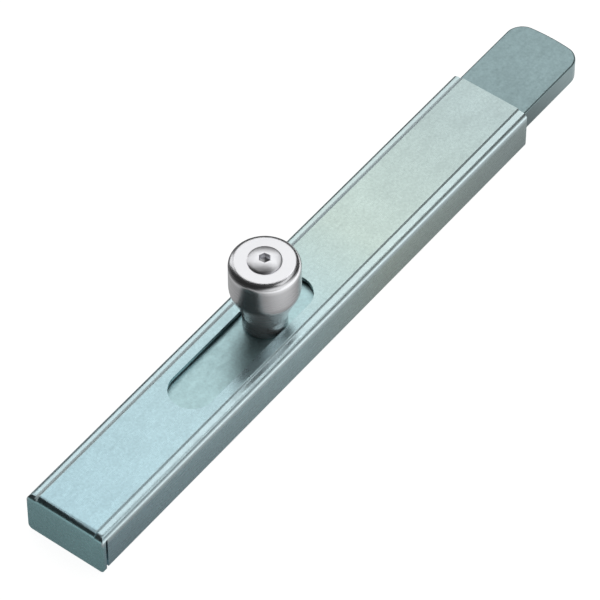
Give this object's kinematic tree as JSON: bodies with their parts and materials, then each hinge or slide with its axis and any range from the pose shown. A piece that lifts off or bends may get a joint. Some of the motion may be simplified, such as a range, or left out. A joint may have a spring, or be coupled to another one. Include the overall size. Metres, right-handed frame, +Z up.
{
  "type": "box bolt",
  "caption": "Surface box bolt: a folded steel casing with a flat bar thrown out of one end by a knob that rides in a slot.",
  "frame": {"origin": "middle of the two fixing holes, on the face that lies on the door", "axes": "+Y along the throw, towards the bolt's end; +Z up from the door; X across the casing"},
  "size_m": [0.025, 0.2133, 0.0377],
  "materials": {
    "casing": "bright zinc plate with a blue-green cast",
    "bolt": "zinc plate, a shade darker than the casing",
    "knob": "bright plated, turned",
    "screw": "bright plated",
    "back_plate": "zinc plate",
    "spring": "spring steel",
    "rivet": "bright steel"
  },
  "bodies": {
    "casing_body": {"casing": "casing", "back_plate": "back_plate", "friction_spring": "spring", "spring_rivet": "rivet"},
    "bolt_body": {"bolt_bar": "bolt", "knob": "knob", "knob_screw": "screw"}
  },
  "joints": [
    {"name": "bolt_slide", "type": "slide", "parent": "casing_body", "child": "bolt_body", "axis": [0, 1, 0], "range_m": [-0.0312, 0.0107]}
  ]
}
